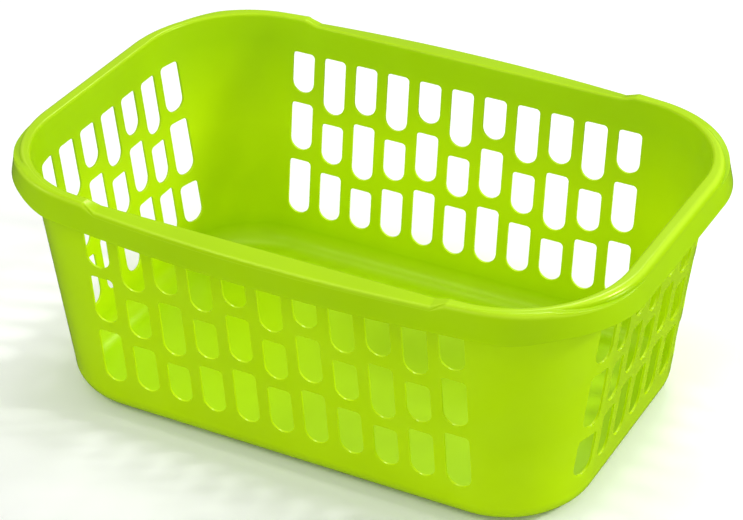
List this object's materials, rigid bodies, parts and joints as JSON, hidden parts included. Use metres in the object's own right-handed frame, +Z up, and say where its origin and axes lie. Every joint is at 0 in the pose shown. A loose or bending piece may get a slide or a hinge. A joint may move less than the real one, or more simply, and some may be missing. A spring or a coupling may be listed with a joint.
{
  "type": "storage basket",
  "caption": "Rectangular lime-green plastic storage basket with slotted leaning walls, rounded corners and a rolled rim lowered into a flat hand grip on both long sides.",
  "frame": {"origin": "centre of the flat underside of the floor", "axes": "+X along the length, +Y across the width, +Z up out of the open top"},
  "size_m": [0.5976, 0.4172, 0.2392],
  "materials": {
    "lime_plastic": "satin"
  },
  "bodies": {
    "root": {"floor_plate": "lime_plastic", "base_edge_back": "lime_plastic", "base_edge_front": "lime_plastic", "base_edge_right": "lime_plastic", "base_edge_left": "lime_plastic", "base_corner_back_right": "lime_plastic", "base_corner_back_left": "lime_plastic", "base_corner_front_right": "lime_plastic", "base_corner_front_left": "lime_plastic", "wall_back": "lime_plastic", "wall_front": "lime_plastic", "wall_right": "lime_plastic", "wall_left": "lime_plastic", "corner_back_right": "lime_plastic", "corner_back_left": "lime_plastic", "corner_front_right": "lime_plastic", "corner_front_left": "lime_plastic", "rim_grip_back": "lime_plastic", "rim_grip_front": "lime_plastic", "rim_end_right": "lime_plastic", "rim_end_left": "lime_plastic", "rim_corner_back_right": "lime_plastic", "rim_corner_back_left": "lime_plastic", "rim_corner_front_right": "lime_plastic", "rim_corner_front_left": "lime_plastic"}
  },
  "joints": []
}
